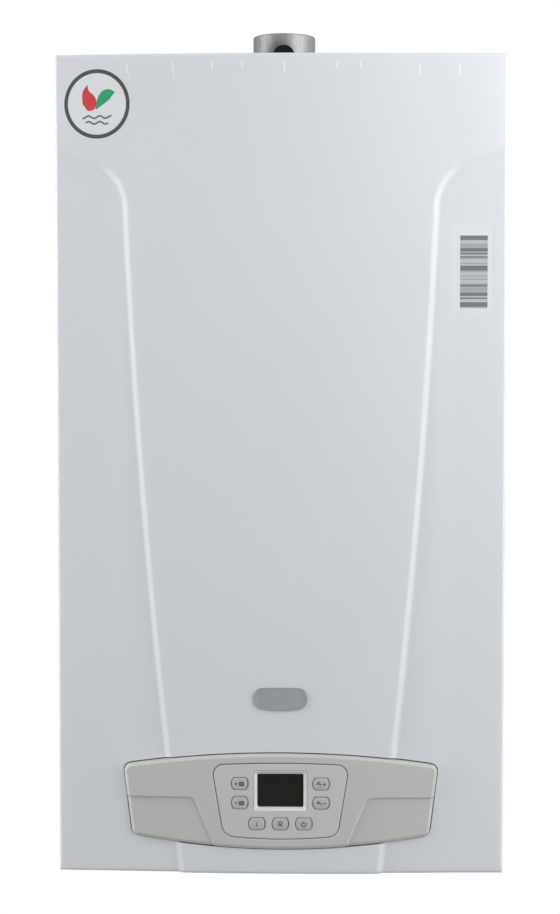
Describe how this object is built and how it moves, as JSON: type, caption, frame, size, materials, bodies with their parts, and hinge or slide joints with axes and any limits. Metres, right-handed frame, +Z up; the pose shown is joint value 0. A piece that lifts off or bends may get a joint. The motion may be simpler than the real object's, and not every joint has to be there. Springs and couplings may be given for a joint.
{
  "type": "wall-hung gas boiler",
  "caption": "Wall-hung gas boiler with a bowed pressed front cover, push-button display panel, top flue spigot and bottom pipe connections.",
  "frame": {"origin": "centre of the two hanging slots on the wall face", "axes": "+Z up, -Y towards the front, +X to the right seen from the front"},
  "size_m": [0.4, 0.2993, 0.772],
  "materials": {
    "white_enamel": "satin",
    "galvanised_sheet": "satin",
    "spigot_steel": "satin",
    "burner_steel": "satin",
    "panel_grey": "satin",
    "keypad_grey": "satin",
    "button_grey": "satin",
    "badge_metal": "satin",
    "display_dark": "gloss",
    "black_plastic": "satin",
    "board_green": "satin",
    "seal_rubber": "matte",
    "hose_rubber": "satin",
    "clear_glass": "gloss",
    "ceramic_fibre": "matte",
    "ceramic_white": "satin",
    "copper": "satin",
    "brass": "satin",
    "cast_iron_paint": "satin",
    "motor_grey": "satin",
    "vessel_red": "satin",
    "gauge_black": "satin",
    "needle_red": "satin",
    "knob_blue": "satin"
  },
  "bodies": {
    "chassis": {"air_intake_blank": "galvanised_sheet", "air_pressure_switch": "black_plastic", "bottom_plate": "galvanised_sheet", "burner": "burner_steel", "cable_gland": "black_plastic", "chamber_cover": "galvanised_sheet", "chamber_gasket": "seal_rubber", "combustion_box": "galvanised_sheet", "connections_large": "brass", "connections_small": "brass", "control_board": "board_green", "control_box": "black_plastic", "control_fascia": "panel_grey", "display_window": "display_dark", "diverter_motor": "black_plastic", "electrodes": "ceramic_white", "expansion_pipe": "copper", "expansion_vessel": "vessel_red", "fan_housing": "galvanised_sheet", "fan_motor": "motor_grey", "flow_group": "brass", "flow_pipe": "copper", "flue_gasket": "seal_rubber", "flue_spigot": "spigot_steel", "fume_hood": "galvanised_sheet", "gas_manifold": "burner_steel", "gas_pipe": "copper", "gas_valve": "motor_grey", "gauge_lens": "clear_glass", "heat_exchanger": "copper", "insulation_panels": "ceramic_fibre", "keypad_plate": "keypad_grey", "lower_crossbar": "galvanised_sheet", "plate_heat_exchanger": "burner_steel", "pressure_gauge": "gauge_black", "pressure_hoses": "hose_rubber", "pump_body": "cast_iron_paint", "pump_motor": "motor_grey", "rear_frame": "galvanised_sheet", "return_group": "brass", "return_pipe": "copper", "sealed_chamber": "galvanised_sheet", "sensing_ring": "black_plastic", "side_panel_left": "white_enamel", "side_panel_right": "white_enamel", "sight_glass": "clear_glass", "top_panel": "galvanised_sheet"},
    "front_cover": {"front_cover": "white_enamel", "cover_badge": "badge_metal"},
    "fan_rotor": {"fan_impeller": "burner_steel"},
    "gauge_needle": {"gauge_needle": "needle_red"},
    "safety_knob": {"safety_valve_knob": "needle_red"},
    "filling_knob": {"filling_valve_knob": "knob_blue"},
    "button_heating_up": {"button_heating_up": "button_grey"},
    "button_heating_down": {"button_heating_down": "button_grey"},
    "button_water_up": {"button_water_up": "button_grey"},
    "button_water_down": {"button_water_down": "button_grey"},
    "button_info": {"button_info": "button_grey"},
    "button_reset": {"button_reset": "button_grey"},
    "button_power": {"button_power": "button_grey"}
  },
  "joints": [
    {"name": "front_cover_slide", "type": "slide", "parent": "chassis", "child": "front_cover", "axis": [0, -1, 0], "range_m": [0, 0.32]},
    {"name": "fan_spin", "type": "hinge", "parent": "chassis", "child": "fan_rotor", "pos_m": [0.029, -0.127, -0.054], "axis": [0, -1, 0], "continuous": true},
    {"name": "gauge_needle_turn", "type": "hinge", "parent": "chassis", "child": "gauge_needle", "pos_m": [-0.097, -0.172, -0.645], "axis": [0, 0, -1], "range_deg": [0, 270]},
    {"name": "safety_knob_turn", "type": "hinge", "parent": "chassis", "child": "safety_knob", "pos_m": [-0.097, -0.15, -0.58], "axis": [0, -1, 0], "range_deg": [0, 90]},
    {"name": "filling_knob_turn", "type": "hinge", "parent": "chassis", "child": "filling_knob", "pos_m": [0.097, -0.1, -0.65], "axis": [0, 0, -1], "range_deg": [0, 180]},
    {"name": "button_heating_up_press", "type": "slide", "parent": "chassis", "child": "button_heating_up", "axis": [0, 1, 0], "range_m": [0, 0.0008], "stiffness_N_per_m": 1500, "springref_m": -0.0008},
    {"name": "button_heating_down_press", "type": "slide", "parent": "chassis", "child": "button_heating_down", "axis": [0, 1, 0], "range_m": [0, 0.0008], "stiffness_N_per_m": 1500, "springref_m": -0.0008},
    {"name": "button_water_up_press", "type": "slide", "parent": "chassis", "child": "button_water_up", "axis": [0, 1, 0], "range_m": [0, 0.0008], "stiffness_N_per_m": 1500, "springref_m": -0.0008},
    {"name": "button_water_down_press", "type": "slide", "parent": "chassis", "child": "button_water_down", "axis": [0, 1, 0], "range_m": [0, 0.0008], "stiffness_N_per_m": 1500, "springref_m": -0.0008},
    {"name": "button_info_press", "type": "slide", "parent": "chassis", "child": "button_info", "axis": [0, 1, 0], "range_m": [0, 0.0008], "stiffness_N_per_m": 1500, "springref_m": -0.0008},
    {"name": "button_reset_press", "type": "slide", "parent": "chassis", "child": "button_reset", "axis": [0, 1, 0], "range_m": [0, 0.0008], "stiffness_N_per_m": 1500, "springref_m": -0.0008},
    {"name": "button_power_press", "type": "slide", "parent": "chassis", "child": "button_power", "axis": [0, 1, 0], "range_m": [0, 0.0008], "stiffness_N_per_m": 1500, "springref_m": -0.0008}
  ]
}
